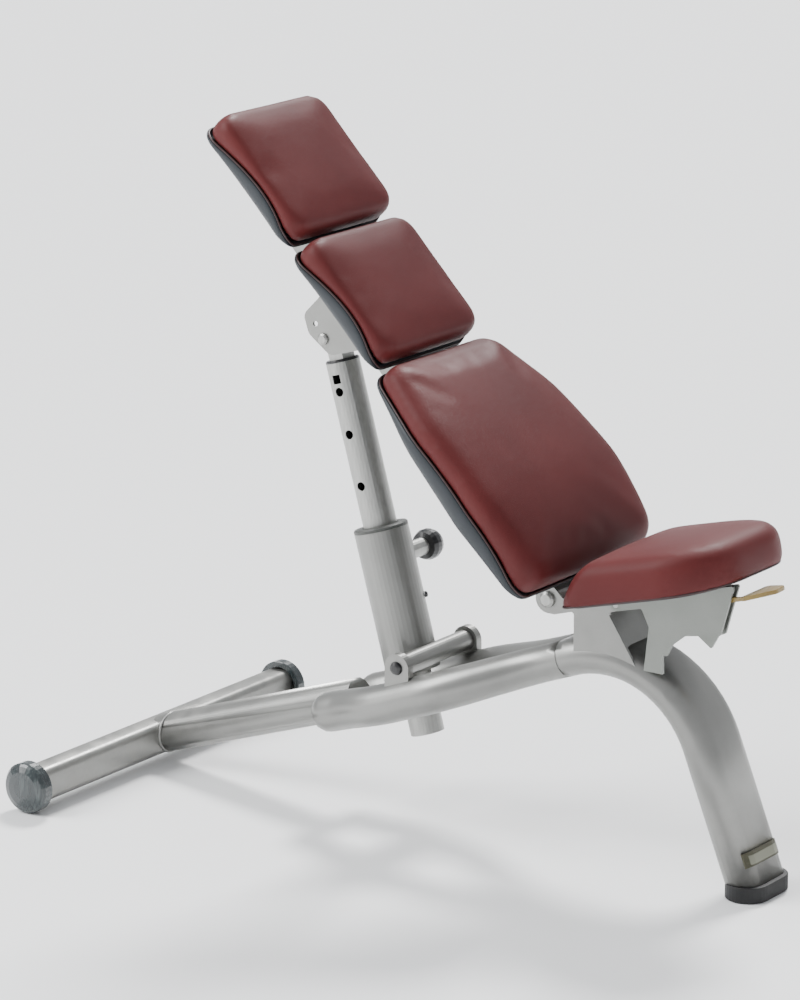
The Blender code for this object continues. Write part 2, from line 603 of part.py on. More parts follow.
def make_post():
    """Sleeve, barrel, bushes and pull pin, and the inner tube with its holes."""
    post = frame_empty("post_axis", world(POST_PIVOT_X, 0, POST_PIVOT_HEIGHT), POST_TILT)

    def on_axis(height):
        return (-POST_SETBACK, 0.0, height)

    pin_height = SLEEVE_TOP - PIN_DROP
    middle = (SLEEVE_TOP + SLEEVE_BOTTOM) / 2
    bore = SLEEVE_RADIUS - SLEEVE_WALL
    length = SLEEVE_TOP - SLEEVE_BOTTOM
    sleeve = ring("post_sleeve", SLEEVE_RADIUS, bore, length, on_axis(middle), "silver_paint", post, UP, 40)
    barrel_length = 2 * (LUG_CENTRE_Y - LUG_THICKNESS / 2) - 0.002
    barrel_bore = PIVOT_PIN_RADIUS + FIT_GAP
    ring("pivot_barrel", BARREL_RADIUS, barrel_bore, barrel_length, (0, 0, 0), "silver_paint", post, sides=28)
    cut(sleeve, rod("barrel_cutter", BARREL_RADIUS + FIT_GAP, 0.2, (0, 0, 0), None, post, sides=28))
    housing_bore = PIN_RADIUS + 0.0030
    cutter_place = (-POST_SETBACK, bore, pin_height)
    cut(sleeve, rod("housing_cutter", housing_bore + FIT_GAP, 0.06, cutter_place, None, post))

    inner = POST_RADIUS + SLIDE_GAP
    outer = bore - FIT_GAP
    top = SLEEVE_TOP + FIT_GAP
    outline = [(inner + 0.002, BUSH_FLANGE), (SLEEVE_RADIUS - 0.002, BUSH_FLANGE)]
    outline += [(SLEEVE_RADIUS, BUSH_FLANGE - 0.002), (SLEEVE_RADIUS, 0.0), (outer, 0.0)]
    outline += [(outer, -BUSH_LENGTH + 0.012), (inner, -BUSH_LENGTH + 0.012), (inner, BUSH_FLANGE - 0.002)]
    turned("sleeve_top_bush", outline, on_axis(top), "black_plastic", post, UP, 32)
    ring("sleeve_lower_bush", outer, inner, BUSH_LENGTH, on_axis(0.050), "black_plastic", post, UP, 28)

    # Pull pin on the far side: housing in the sleeve's wall, pin, spring and knob
    wall = SLEEVE_RADIUS
    hole = PIN_RADIUS + FIT_GAP
    stem = PIN_RADIUS - 0.0015
    chamber = housing_bore + 0.0015
    mouth = wall + PLUNGER_LENGTH - KNOB_SOCKET
    housing = [(housing_bore + 0.004, mouth - 0.002), (housing_bore + 0.004, wall + 0.002)]
    housing += [(housing_bore, wall + 0.002), (housing_bore, bore - 0.002), (hole, bore - 0.002)]
    housing += [(hole, wall + 0.003), (chamber, wall + 0.003), (chamber, mouth - 0.002)]
    turned("plunger_housing", housing, on_axis(pin_height), "bright_steel", post, ALONG_Y, 20)
    cap_place = (-POST_SETBACK, mouth - 0.0009, pin_height)
    outer = housing_bore + 0.004
    ring("plunger_cap", outer, stem + FIT_GAP, 0.0015, cap_place, "bright_steel", post, sides=24)
    tip = POST_RADIUS + PLUNGER_CLEARANCE
    shoulder = wall + 0.0035
    collar = PIN_RADIUS + 0.0030
    pin = [(0.0, wall + PLUNGER_LENGTH), (stem, wall + PLUNGER_LENGTH), (stem, shoulder + 0.003)]
    pin += [(collar, shoulder + 0.003), (collar, shoulder)]
    pin += [(PIN_RADIUS, shoulder), (PIN_RADIUS, tip + 0.001), (PIN_RADIUS - 0.001, tip), (0.0, tip)]
    turned("plunger_pin", pin, on_axis(pin_height), "bright_steel", post, ALONG_Y, SMALL_ROUND)
    coil_radius = PIN_RADIUS + 0.0008
    wire = 0.0006
    coil_start = shoulder + 0.003 + wire + FIT_GAP
    coil_length = mouth - 0.0020 - wire - coil_start
    turns = 5
    stations = []
    for step in range(turns * 8 + 1):
        angle = math.tau * step / 8
        along = coil_start + coil_length * step / (turns * 8)
        across, up = coil_radius * math.cos(angle), coil_radius * math.sin(angle)
        stations.append((Vector((across - POST_SETBACK, along, pin_height + up)), 1.0))
    spring = swept("plunger_spring", stations, wire, "bright_steel", steps=0)
    spring.parent = post
    knob = []
    for step in range(7):
        angle = math.radians(20 * step)
        knob.append((KNOB_RADIUS * math.sin(angle), KNOB_LENGTH - KNOB_RADIUS * (1 - math.cos(angle))))
    knob += [(KNOB_RADIUS * 0.5, 0.0), (stem + FIT_GAP, 0.0)]
    knob += [(stem + FIT_GAP, KNOB_SOCKET), (0.0, KNOB_SOCKET)]
    knob_place = (-POST_SETBACK, wall + PLUNGER_LENGTH - KNOB_SOCKET + FIT_GAP, pin_height)
    turned("plunger_knob", knob, knob_place, "black_plastic", post, ALONG_Y, 24)

    # Guide screw in the sleeve's front, turned a little to the far side
    outline = [(0.0, 0.0050), (0.003, 0.0046), (0.0046, 0.0028), (0.0048, 0.0), (0.0, 0.0)]
    reach = SLEEVE_RADIUS + FIT_GAP
    across, along = reach * math.sin(SCREW_TURN), reach * math.cos(SCREW_TURN)
    screw_place = (along - POST_SETBACK, across, SLEEVE_TOP - SCREW_DROP)
    facing = (0.0, math.pi / 2, SCREW_TURN)
    turned("sleeve_screw", outline, screw_place, "black_plastic", post, facing, SMALL_ROUND)

    # Inner tube: open at its lower end, with a plug and a tongue at its top
    shoulder_height = POST_REACH - TONGUE_LENGTH
    bottom = POST_REACH - POST_LENGTH - TONGUE_LENGTH
    tube_middle = (shoulder_height + bottom) / 2
    tube_length = shoulder_height - bottom
    bore = POST_RADIUS - POST_WALL
    place = on_axis(tube_middle)
    tube = ring("inner_tube", POST_RADIUS, bore, tube_length, place, "bright_steel", post, UP, ROUND)
    pin_level = POST_REACH - pin_height
    distances = list(PIN_HOLES_ABOVE[1:]) + [pin_level + PIN_HOLE_PITCH * count for count in range(3)]
    for distance in distances:
        place = on_axis(POST_REACH - distance)
        cut(tube, rod("hole_cutter", PIN_RADIUS + FIT_GAP, 0.1, place, None, post, chamfer=0.0, sides=12))
    square = 2 * PIN_RADIUS
    place = on_axis(POST_REACH - PIN_HOLES_ABOVE[0])
    cut(tube, box("square_cutter", (square, 0.1, square), place, None, post))
    shade(tube)
    depth = 0.014
    fit = POST_RADIUS - POST_WALL - FIT_GAP
    level = shoulder_height + FIT_GAP
    outline = [(0.0, 0.004), (POST_RADIUS - 0.002, 0.004), (POST_RADIUS, 0.002)]
    outline += [(POST_RADIUS, 0.0), (fit, 0.0), (fit, -depth), (0.0, -depth)]
    plug = turned("post_plug", outline, on_axis(level), "black_plastic", post, UP, 28)
    tongue_foot = level - 0.010
    tongue_top = POST_REACH + TONGUE_RADIUS
    rounding = TONGUE_RADIUS - 0.0001
    corners = [(-TONGUE_RADIUS, tongue_foot, 0.0), (-TONGUE_RADIUS, tongue_top, rounding)]
    corners += [(TONGUE_RADIUS, tongue_top, rounding), (TONGUE_RADIUS, tongue_foot, 0.0)]
    eye = circle_outline(0.0, POST_REACH, 0.0062)
    outlines = [rounded_outline(corners, steps=8), eye]
    tongue = plate("post_tongue", outlines, TONGUE_THICKNESS, on_axis(0.0), "bright_steel", post)
    slot_size = (2 * TONGUE_RADIUS + 2 * FIT_GAP, TONGUE_THICKNESS + 2 * FIT_GAP, 0.1)
    cut(plug, box("tongue_slot", slot_size, on_axis(tongue_foot - FIT_GAP + 0.05), None, post))
    shade(tongue)


# ---------------------------------------------------------------- backrest
def pad_outline(start, end, width, corner=PAD_CORNER):
    """A rounded rectangle up the backrest from start to end."""
    corners = [(-start, width / 2, corner), (-start, -width / 2, corner)]
    corners += [(-end, -width / 2, corner), (-end, width / 2, corner)]
    return rounded_outline(corners, steps=4)


def lower_pad_outline(start, end, inset=0.0):
    """The lower pad: narrow at its top, widest at the lumbar swell, and a little narrower at its end."""
    top, swell, foot = (width / 2 - inset for width in LOWER_PAD_WIDTHS)
    middle = -LUMBAR_DISTANCE
    shoulder = -(LUMBAR_DISTANCE + (end - LUMBAR_DISTANCE) * 0.45)
    half = [(-end, top, 0.040), (shoulder, swell - (swell - top) * 0.22, 0.200), (middle, swell, 0.100)]
    half.append((-start, foot, 0.044))
    other = [(x, -y, radius) for x, y, radius in reversed(half)]
    return rounded_outline(half + other, steps=3)


def make_backrest():
    """Backrest tube with its hinge, the clevis, and three pads on their shells."""
    hinge = frame_empty("backrest_hinge_axis", world(HINGE_X, 0, HINGE_HEIGHT), BACKREST_ANGLE)
    ear_inside = GUSSET_PLATE_Y - GUSSET_THICKNESS / 2
    pin_length = 2 * (GUSSET_PLATE_Y + GUSSET_THICKNESS / 2) + 0.010
    bore = HINGE_PIN_RADIUS + FIT_GAP
    length = 2 * ear_inside - 0.002
    ring("hinge_barrel", HINGE_RADIUS, bore, length, (0, 0, 0), "silver_paint", hinge, sides=28)
    place = world(HINGE_X, 0, HINGE_HEIGHT)
    rod("backrest_hinge_pin", HINGE_PIN_RADIUS, pin_length, place, "bright_steel")

    tube_height = BACK_TUBE_TOP - BACK_TUBE_BOTTOM
    middle = (BACK_TUBE_TOP + BACK_TUBE_BOTTOM) / 2
    size = (BACK_TUBE_LENGTH, BACK_TUBE_WIDTH, tube_height)
    place = (-BACK_TUBE_LENGTH / 2, 0, middle)
    tube = box("backrest_tube", size, place, "silver_paint", hinge, bevel=0.006, steps=3)
    cut(tube, rod("hinge_cutter", HINGE_RADIUS + FIT_GAP, 0.2, (0, 0, 0), None, hinge, sides=28))
    shade(tube)
    cap_length = 0.004
    place = (-BACK_TUBE_LENGTH - cap_length / 2 - FIT_GAP, 0, middle)
    size = (cap_length, BACK_TUBE_WIDTH, tube_height)
    box("backrest_tube_cap", size, place, "black_plastic", hinge, bevel=0.0015)

    # Clevis cheeks on the tube's sides, each with a spare hole, and their bolts
    cheek_y = BACK_TUBE_WIDTH / 2 + FIT_GAP + CHEEK_THICKNESS / 2
    x, z = -CLEVIS_DISTANCE, -CLEVIS_DROP
    weld = BACK_TUBE_BOTTOM + 0.014
    corners = [(x - 0.052, weld, 0.006), (x - 0.050, z - 0.004, 0.014), (x - 0.022, z - 0.0165, 0.016)]
    corners += [(x + 0.026, z - 0.008, 0.018), (x + 0.060, weld, 0.006)]
    outlines = [rounded_outline(corners), circle_outline(x, z, 0.0055)]
    outlines.append(circle_outline(x - 0.026, z + 0.004, 0.0045))
    for side, word in ((-1, "near"), (1, "far")):
        place = (0, side * cheek_y, 0)
        shade(plate(f"clevis_cheek_{word}", outlines, CHEEK_THICKNESS, place, "silver_paint", hinge))
        head = cheek_y + CHEEK_THICKNESS / 2 + FIT_GAP
        outline = [(0.0, 0.0050), (0.006, 0.0050), (0.0088, 0.0028), (0.0090, 0.0), (0.0052, 0.0)]
        outline += [(0.0052, -0.0085), (0.0, -0.0085)]
        rotation = (-side * math.pi / 2, 0.0, 0.0)
        place = (x, side * head, z)
        turned(f"clevis_bolt_{word}", outline, place, "bright_steel", hinge, rotation, SMALL_ROUND)

    # Cross brackets between the tube and the shells
    shell_middle = SHELL_LEVEL + SHELL_THICKNESS / 2
    bracket_height = SHELL_LEVEL - BACK_TUBE_TOP - 2 * FIT_GAP
    for word, (start, end) in (("head", HEAD_BRACKET), ("mid", MID_PAD), ("lower", LOWER_PAD)):
        centre = (start + end) / 2
        size = (0.034, 0.190, bracket_height)
        place = (-centre, 0, BACK_TUBE_TOP + FIT_GAP + bracket_height / 2)
        box(f"{word}_pad_bracket", size, place, "silver_paint", hinge, bevel=0.0012)

    low = SHELL_LEVEL + SHELL_THICKNESS + FIT_GAP
    thickness = PAD_FRONT - low
    shell_place = (0, 0, shell_middle)
    pad_place = (0, 0, low + thickness / 2)
    for word, (start, end) in (("head", HEAD_PAD), ("mid", MID_PAD)):
        outline = pad_outline(start + 0.003, end - 0.003, UPPER_PAD_WIDTH - 0.006)
        name = f"{word}_shell"
        shade(plate(name, [outline], SHELL_THICKNESS, shell_place, "navy_shell", hinge, LEVEL, 0.006))
        outline = pad_outline(start, end, UPPER_PAD_WIDTH)
        shade(plate(f"{word}_pad", [outline], thickness, pad_place, "maroon_cover", hinge, LEVEL, PAD_EDGE))

    start, end = LOWER_PAD
    outline = lower_pad_outline(start + 0.004, end - 0.003, 0.003)
    shade(plate("lower_shell", [outline], SHELL_THICKNESS, shell_place, "navy_shell", hinge, LEVEL, 0.006))
    outline = lower_pad_outline(start, end)
    pad = plate("lower_pad", [outline], thickness, pad_place, "maroon_cover", hinge, LEVEL, PAD_EDGE)
    for vertex in pad.data.vertices:
        if vertex.co.z > 0.0:
            away = abs(-vertex.co.x - LUMBAR_DISTANCE)
            reach = LUMBAR_DISTANCE * 1.35 if -vertex.co.x < LUMBAR_DISTANCE else end - LUMBAR_DISTANCE
            vertex.co.z += (LUMBAR_FRONT - PAD_FRONT) * (1 - smooth_step(away, 0.0, reach))
    shade(pad)


# ---------------------------------------------------------------- seat mount on the leg, and the seat
def make_seat_mount():
    """Gusset plates on the arch, their slanted front, and the quadrant that the seat locks on."""
    ear = HINGE_RADIUS + 0.0005
    left, low, high = HINGE_X - ear, HINGE_HEIGHT - ear, HINGE_HEIGHT + ear
    front_top = SEAT_HINGE_X - 0.0210
    front_low = SEAT_HINGE_X + 0.0285
    foot_level = ARCH_CENTRE.y + ARCH_RADIUS
    rise = SEAT_HINGE_HEIGHT + SEAT_BOARD_LEVEL / math.cos(SEAT_ANGLE) - 0.0020
    dip_x = HINGE_X + 0.062
    nose_x = SEAT_HINGE_X - 0.018
    eye = 0.0085
    eye_edge = eye + 0.0001
    rear_edge = HINGE_X + 0.0455
    front_height = SEAT_HINGE_HEIGHT - 0.018
    corners = [(rear_edge, foot_level, 0.0), (rear_edge, low + 0.010, 0.004), (HINGE_X + 0.012, low, 0.010)]
    corners += [(left, low, ear - 0.0005), (left, high, ear - 0.0005), (HINGE_X + ear * 0.414, high, ear)]
    corners.append((HINGE_X + 0.0255, high - 0.0166, 0.006))
    corners += [(x, rise + (x - SEAT_HINGE_X) * math.tan(SEAT_ANGLE), 0.012) for x in (dip_x, nose_x)]
    corners += [(SEAT_HINGE_X + eye_edge, SEAT_HINGE_HEIGHT + eye_edge, eye)]
    corners += [(SEAT_HINGE_X + eye_edge, SEAT_HINGE_HEIGHT - eye_edge, eye)]
    corners += [(front_top, front_height, 0.004), (front_low, foot_level, 0.0)]
    holes = [circle_outline(HINGE_X, HINGE_HEIGHT, HINGE_PIN_RADIUS + FIT_GAP)]
    holes.append(circle_outline(SEAT_HINGE_X, SEAT_HINGE_HEIGHT, SEAT_PIN_RADIUS + FIT_GAP))
    for side, word in ((-1, "near"), (1, "far")):
        place = world(0, side * GUSSET_PLATE_Y, 0)
        outlines = [rounded_outline(corners)] + holes
        gusset = plate(f"gusset_{word}", outlines, GUSSET_THICKNESS, place, "silver_paint")
        cut(gusset, leg_solid("leg_cutter", growth=FIT_GAP))
        shade(gusset)
        bore = HINGE_PIN_RADIUS + FIT_GAP
        cap = [(0.0, 0.0070), (0.0085, 0.0070), (0.0120, 0.0040), (0.0125, 0.0), (bore, 0.0)]
        cap += [(bore, 0.0055), (0.0, 0.0055)]
        rotation = (-side * math.pi / 2, 0.0, 0.0)
        face = GUSSET_PLATE_Y + GUSSET_THICKNESS / 2 + FIT_GAP
        place = world(HINGE_X, side * face, HINGE_HEIGHT)
        turned(f"hinge_cap_{word}", cap, place, "bright_steel", rotation=rotation, sides=24)

    inside = 2 * (GUSSET_PLATE_Y - GUSSET_THICKNESS / 2 - FIT_GAP)
    run, fall = front_low - front_top, front_height - foot_level
    below = 0.008
    middle = world((front_top + front_low) / 2 - 0.006, 0, (front_height + foot_level) / 2 - below)
    size = (0.004, inside, math.hypot(run, fall) + 0.020)
    front = box("gusset_front", size, middle, "silver_paint", tilt=-math.atan2(run, fall))
    cut(front, leg_solid("leg_cutter", growth=FIT_GAP))

    # Notched quadrant on the leg's side, in the seat bracket's channel
    points = []
    notch_pitch = SEAT_ANGLE / 2
    start = math.radians(-2.0)
    sweep = math.radians(-26.0)
    samples = 48
    for sample in range(samples + 1):
        angle = start + sweep * sample / samples
        wave = math.cos(math.pi * (angle - TOOTH_ANGLE - SEAT_ANGLE) / notch_pitch)
        radius = QUADRANT_RADIUS - NOTCH_DEPTH * wave ** 6
        points.append(Vector((math.cos(angle), math.sin(angle))) * radius)
    base = foot_level - SEAT_HINGE_HEIGHT
    points += [Vector((0.078, base)), Vector((0.046, base)), Vector((0.056, -0.0030))]
    place = world(SEAT_HINGE_X, -channel_distance(), SEAT_HINGE_HEIGHT)
    quadrant = plate("seat_quadrant", [points], QUADRANT_THICKNESS, place, "bracket_paint")
    cut(quadrant, leg_solid("leg_cutter", growth=FIT_GAP))
    shade(quadrant)


def channel_distance():
    """From the middle plane to the middle of the seat bracket's channel."""
    return SEAT_PLATE_Y - (CHANNEL_WIDTH - SEAT_PLATE_THICKNESS) / 2


def make_seat_bracket(hinge):
    """The seat bracket's plates, its hinge pin and its lever."""
    pin_length = 2 * SEAT_PLATE_Y + SEAT_PLATE_THICKNESS
    place = world(SEAT_HINGE_X, 0, SEAT_HINGE_HEIGHT)
    rod("seat_hinge_pin", SEAT_PIN_RADIUS, pin_length, place, "bright_steel")
    top = SEAT_BOARD_LEVEL - FIT_GAP
    pin_hole = circle_outline(0, 0, SEAT_PIN_RADIUS + FIT_GAP)
    pin_x, pin_z = LEVER_PIN
    boss = [(-0.0090, top, 0.0085), (-0.0090, -0.0090, 0.0085)]
    corners = boss + [(0.0440, -0.0090, 0.004), (0.0534, -0.0535, 0.004), (0.0487, -0.0719, 0.003)]
    corners += [(0.0707, -0.0827, 0.003), (0.0841, -0.0665, 0.010), (0.1087, -0.0553, 0.012)]
    corners += [(0.1683, -0.0602, 0.004), (0.2085, top, 0.003)]
    outlines = [rounded_outline(corners), pin_hole]
    place = (0, -SEAT_PLATE_Y, 0)
    shade(plate("seat_bracket", outlines, SEAT_PLATE_THICKNESS, place, "bracket_paint", hinge))
    corners = [(0.0880, top, 0.003), (0.0880, -0.0200, 0.006), (0.1180, -0.0560, 0.006)]
    corners += [(0.1390, -0.0800, 0.002), (0.1560, -0.0620, 0.004), (0.1683, -0.0602, 0.004)]
    corners.append((0.2085, top, 0.003))
    outlines = [rounded_outline(corners), circle_outline(pin_x, pin_z, LEVER_PIN_RADIUS + FIT_GAP)]
    inner_y = -SEAT_PLATE_Y + CHANNEL_WIDTH - SEAT_PLATE_THICKNESS
    place = (0, inner_y, 0)
    shade(plate("seat_bracket_inner", outlines, SEAT_PLATE_THICKNESS, place, "bracket_paint", hinge))
    corners = boss + [(0.1100, -0.0040, 0.006), (0.1200, top, 0.002)]
    outlines = [rounded_outline(corners), pin_hole]
    place = (0, SEAT_PLATE_Y, 0)
    shade(plate("seat_arm", outlines, SEAT_PLATE_THICKNESS, place, "bracket_paint", hinge))

    # Lever: a paddle under the seat's front, an arm in the channel and a tooth that faces the quadrant
    outside = -SEAT_PLATE_Y + SEAT_PLATE_THICKNESS / 2 + FIT_GAP
    inside = inner_y + SEAT_PLATE_THICKNESS / 2
    pin_place = (pin_x, (outside + inside) / 2, pin_z)
    rod("lever_pin", LEVER_PIN_RADIUS, inside - outside, pin_place, "bright_steel", hinge)
    axis = frame_empty("lever_axis", (pin_x, -channel_distance(), pin_z))
    axis.parent = hinge
    tip = (QUADRANT_RADIUS + TOOTH_CLEARANCE) * Vector((math.cos(TOOTH_ANGLE), math.sin(TOOTH_ANGLE)))
    tip -= Vector(LEVER_PIN)
    outward = Vector((math.cos(TOOTH_ANGLE), math.sin(TOOTH_ANGLE)))
    across = Vector((-outward.y, outward.x))
    above = tip + outward * 0.0052 + across * 0.0019
    below = tip + outward * 0.0052 - across * 0.0019
    heel = tip + outward * 0.0130 - across * 0.0040
    hub = LEVER_HUB_RADIUS
    corners = [(0.117, -0.0030, 0.001), (0.030, 0.0040, 0.010)]
    corners += [(-hub, hub, hub - 0.0005), (-hub, -hub, 0.004)]
    corners += [(above.x, above.y, 0.001), (tip.x, tip.y, 0.0004), (below.x, below.y, 0.001)]
    corners += [(heel.x, heel.y, 0.003), (0.012, -0.0120, 0.008), (0.117, -0.0075, 0.001)]
    hole = circle_outline(0, 0, LEVER_PIN_RADIUS + FIT_GAP)
    outlines = [rounded_outline(corners, steps=4), hole]
    lever = plate("seat_lever", outlines, LEVER_THICKNESS, (0, 0, 0), "ochre_plastic", axis)
    corners = [(0.1105, -0.0026, 0.003), (0.1180, -0.0026, 0.003), (0.1520, 0.0300, 0.012)]
    corners += [(0.1490, 0.0620, 0.014), (0.1105, 0.0740, 0.008)]
    paddle_place = (0, 0, -0.0052)
    paddle = plate("paddle", [rounded_outline(corners)], 0.0066, paddle_place, None, axis, LEVEL, 0.0012)
    shade(combine(lever, paddle, "UNION"))


def make_seat():
    """Seat bracket, board and pad, all on the seat's hinge."""
    hinge = frame_empty("seat_hinge_axis", world(SEAT_HINGE_X, 0, SEAT_HINGE_HEIGHT), -SEAT_ANGLE)
    make_seat_bracket(hinge)

    half = SEAT_WIDTH / 2
    inset = 0.014
    rear, front = SEAT_REAR + 0.012, SEAT_FRONT - 0.018
    corners = [(rear, half - inset, 0.03), (rear, inset - half, 0.03)]
    corners += [(front, inset - half, 0.094), (front, half - inset, 0.094)]
    place = (0, 0, SEAT_BOARD_LEVEL + SEAT_BOARD_THICKNESS / 2)
    outline = rounded_outline(corners)
    shade(plate("seat_board", [outline], SEAT_BOARD_THICKNESS, place, "navy_shell", hinge, LEVEL, 0.002))
    corners = [(SEAT_REAR, half, 0.034), (SEAT_REAR, -half, 0.034)]
    corners += [(SEAT_FRONT, -half, 0.108), (SEAT_FRONT, half, 0.108)]
    thickness = SEAT_THICKNESS - SEAT_BOARD_THICKNESS
    place = (0, 0, SEAT_BOARD_LEVEL + SEAT_BOARD_THICKNESS + FIT_GAP + thickness / 2)
    outline = rounded_outline(corners, steps=5)
    pad = plate("seat_pad", [outline], thickness, place, "maroon_cover", hinge, LEVEL, 0.020)
    for vertex in pad.data.vertices:
        share = vertex.co.z / thickness + 0.5
        vertex.co.x += SEAT_REAR_LEAN * share * (1 - smooth_step(vertex.co.x, SEAT_REAR, SEAT_REAR + 0.110))
    shade(pad)


make_base()
make_post_pivot()
make_post()
make_backrest()
make_seat_mount()
make_seat()
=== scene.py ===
import json
import math

import bmesh
import bpy
from mathutils import Matrix, Vector


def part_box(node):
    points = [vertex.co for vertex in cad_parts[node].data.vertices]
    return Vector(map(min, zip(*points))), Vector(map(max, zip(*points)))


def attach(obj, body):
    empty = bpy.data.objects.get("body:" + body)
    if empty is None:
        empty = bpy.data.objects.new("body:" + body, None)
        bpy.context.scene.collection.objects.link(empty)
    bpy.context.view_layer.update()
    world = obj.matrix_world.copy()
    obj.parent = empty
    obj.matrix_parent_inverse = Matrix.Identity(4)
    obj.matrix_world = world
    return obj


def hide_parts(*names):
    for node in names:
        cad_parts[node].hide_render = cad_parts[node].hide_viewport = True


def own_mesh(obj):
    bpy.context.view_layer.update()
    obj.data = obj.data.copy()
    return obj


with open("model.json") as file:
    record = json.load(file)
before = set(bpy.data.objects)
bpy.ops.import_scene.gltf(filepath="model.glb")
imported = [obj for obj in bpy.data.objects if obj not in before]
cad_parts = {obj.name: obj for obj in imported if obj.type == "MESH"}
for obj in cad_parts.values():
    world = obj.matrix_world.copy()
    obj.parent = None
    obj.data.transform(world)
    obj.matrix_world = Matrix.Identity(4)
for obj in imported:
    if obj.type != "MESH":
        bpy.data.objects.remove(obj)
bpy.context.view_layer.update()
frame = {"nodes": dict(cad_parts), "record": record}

joints = {joint["name"]: joint for joint in frame["record"]["behaviour"]["joints"]}
nodes = frame["nodes"]

BACKREST_ANGLE = math.radians(46.5)
SEAT_ANGLE = math.radians(-14.4)
POST_TILT = math.radians(-15.7)
back_place = Matrix.Translation(joints["backrest_hinge"]["pos_m"]) @ Matrix.Rotation(BACKREST_ANGLE, 4, "Y")
seat_place = Matrix.Translation(joints["seat_tilt"]["pos_m"]) @ Matrix.Rotation(SEAT_ANGLE, 4, "Y")


# ---------------------------------------------------------------- shader maths
class Channel:
    """A number that varies over a surface, for use in plain expressions."""

    def __init__(self, finish, socket):
        self.finish = finish
        self.socket = socket

    def maths(self, operation, first, second):
        return self.finish.make("ShaderNodeMath", {"operation": operation}, {0: first, 1: second})[0]

    def __add__(self, other):
        return self.maths("ADD", self, other)

    __radd__ = __add__

    def __sub__(self, other):
        return self.maths("SUBTRACT", self, other)

    def __rsub__(self, other):
        return self.maths("SUBTRACT", other, self)

    def __mul__(self, other):
        return self.maths("MULTIPLY", self, other)

    __rmul__ = __mul__

    def size(self):
        return self.maths("ABSOLUTE", self, 0.0)

    def above(self, level, softness=0.1):
        """0 below a level, 1 above it, blended over the softness."""
        span = self.finish.make("ShaderNodeMapRange", {"interpolation_type": "SMOOTHSTEP"},
                                {0: self, 1: level - softness / 2, 2: level + softness / 2})
        return span[0]


class Finish:
    """A material and the nodes that are added to it."""

    def __init__(self, name, roughness=0.5, metallic=0.0, coat=0.0, coat_roughness=0.1, specular=0.5):
        self.material = bpy.data.materials.new(name)
        self.material.use_nodes = True
        self.tree = self.material.node_tree
        self.shader = self.tree.nodes["Principled BSDF"]
        self.shader.inputs["Roughness"].default_value = roughness
        self.shader.inputs["Metallic"].default_value = metallic
        self.shader.inputs["Coat Weight"].default_value = coat
        self.shader.inputs["Coat Roughness"].default_value = coat_roughness
        self.shader.inputs["Specular IOR Level"].default_value = specular
        self.place = self.tree.nodes.new("ShaderNodeTexCoord").outputs["Object"]

    def make(self, kind, settings=None, values=None):
        """Add a node; give it its settings, then the values or links of its sockets."""
        node = self.tree.nodes.new(kind)
        for key, value in (settings or {}).items():
            if key == "stops":
                ramp = node.color_ramp
                while len(ramp.elements) < len(value):
                    ramp.elements.new(0.5)
                for element, (position, colour) in zip(ramp.elements, value):
                    element.position = position
                    element.color = (*colour, 1.0)
            else:
                setattr(node, key, value)
        for key, value in (values or {}).items():
            socket = node.inputs[key]
            if isinstance(value, Channel):
                self.tree.links.new(value.socket, socket)
            elif isinstance(value, bpy.types.NodeSocket):
                self.tree.links.new(value, socket)
            else:
                socket.default_value = value
        return [Channel(self, output) for output in node.outputs]

    def stretched(self, scale, turn=(0.0, 0.0, 0.0), move=(0.0, 0.0, 0.0)):
        """Object coordinates, moved, turned and scaled."""
        moved = self.make("ShaderNodeVectorMath", {"operation": "SUBTRACT"}, {0: self.place, 1: move})[0]
        values = {"Vector": moved, "Rotation": turn, "Scale": scale}
        return self.make("ShaderNodeMapping", {"vector_type": "POINT"}, values)[0]

    def noise(self, scale, detail=3.0, roughness=0.5, place=None, distortion=0.0):
        values = {"Vector": place or self.place, "Scale": scale, "Detail": detail, "Roughness": roughness}
        values["Distortion"] = distortion
        return self.make("ShaderNodeTexNoise", {}, values)[0]

    def cells(self, scale, feature="F1", place=None, randomness=1.0):
        values = {"Vector": place or self.place, "Scale": scale, "Randomness": randomness}
        return self.make("ShaderNodeTexVoronoi", {"feature": feature}, values)[0]

    def along(self, axis, place=None):
        parts = self.make("ShaderNodeSeparateXYZ", {}, {0: place or self.place})
        return parts["XYZ".index(axis)]

    def ramp(self, value, *stops):
        return self.make("ShaderNodeValToRGB", {"stops": stops}, {0: value})[0]

    def mix(self, factor, first, second, blend="MIX"):
        settings = {"data_type": "RGBA", "blend_type": blend}
        first = first if isinstance(first, Channel) else (*first, 1.0)
        second = second if isinstance(second, Channel) else (*second, 1.0)
        return self.make("ShaderNodeMix", settings, {0: factor, 6: first, 7: second})[2]

    def colour(self, value):
        self.tree.links.new(value.socket, self.shader.inputs["Base Color"])

    def drive(self, name, value):
        self.tree.links.new(value.socket, self.shader.inputs[name])

    def bump(self, height, distance, strength=1.0):
        values = {"Height": height, "Distance": distance, "Strength": strength}
        self.tree.links.new(self.make("ShaderNodeBump", {}, values)[0].socket, self.shader.inputs["Normal"])


